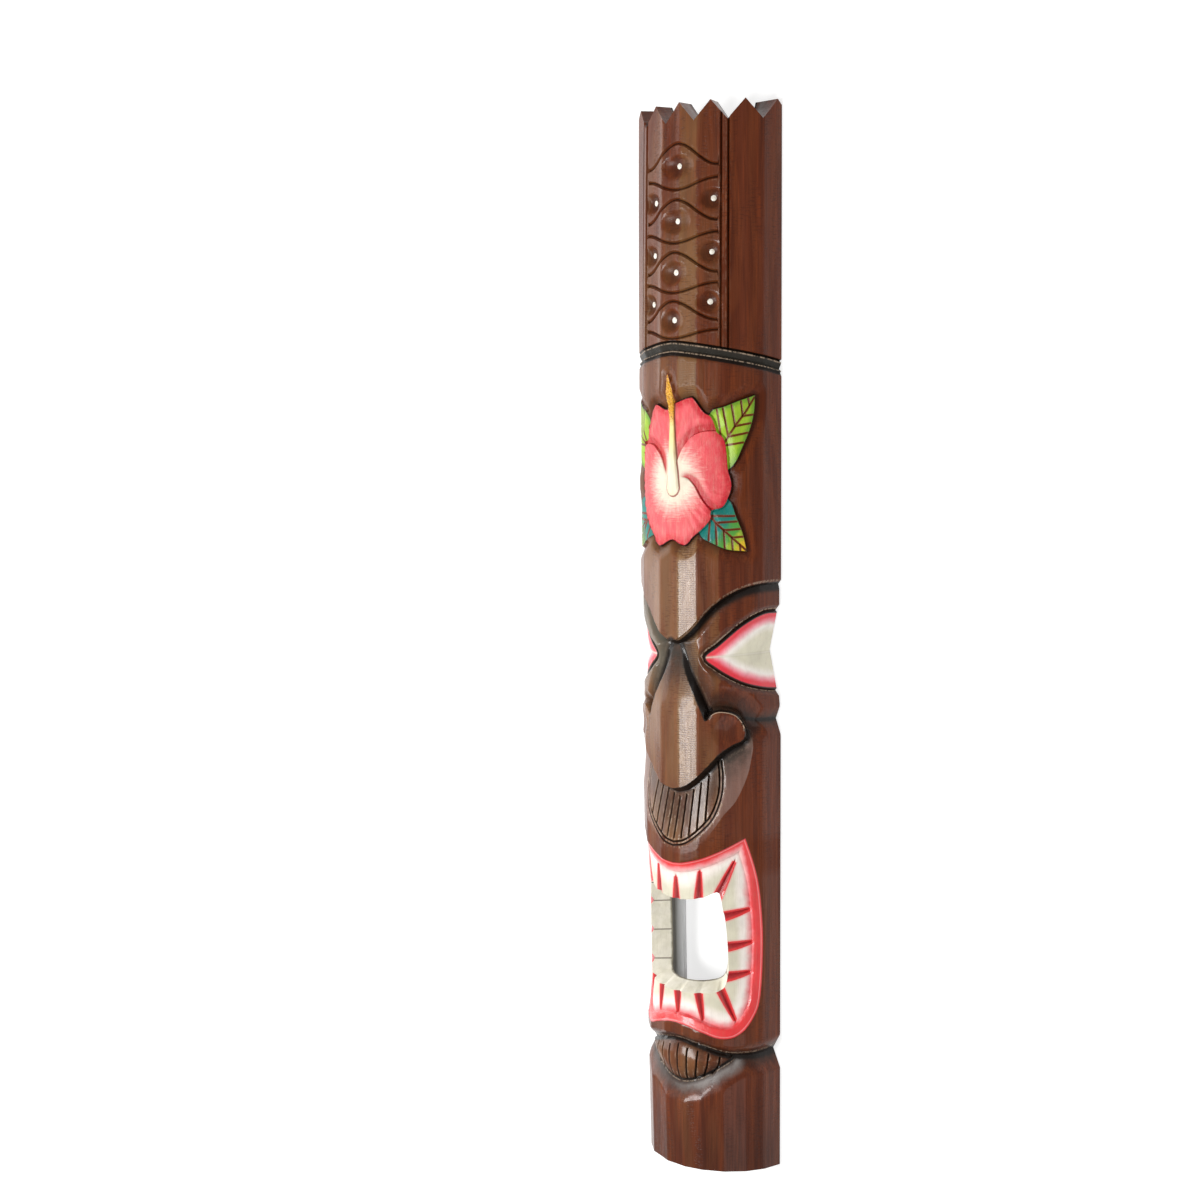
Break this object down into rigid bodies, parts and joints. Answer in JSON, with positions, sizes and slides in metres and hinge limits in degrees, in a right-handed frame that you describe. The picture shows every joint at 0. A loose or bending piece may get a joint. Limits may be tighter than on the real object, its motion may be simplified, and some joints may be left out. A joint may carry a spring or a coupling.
{
  "type": "carved wall mask",
  "caption": "Tall carved tiki mask from a hollowed half log, with a spiked crown, a painted flower on the forehead, slanted eyes, a long nose and an open toothed mouth.",
  "frame": {"origin": "middle of the flat back plane, the face of the log that meets a wall or the surface that the mask lies on", "axes": "+Z out of the face, +Y along the mask towards the spiked crown, +X across it"},
  "size_m": [0.1618, 1, 0.069],
  "materials": {
    "stained_wood": "satin"
  },
  "bodies": {
    "root": {"tiki_mask": "stained_wood"}
  },
  "joints": []
}
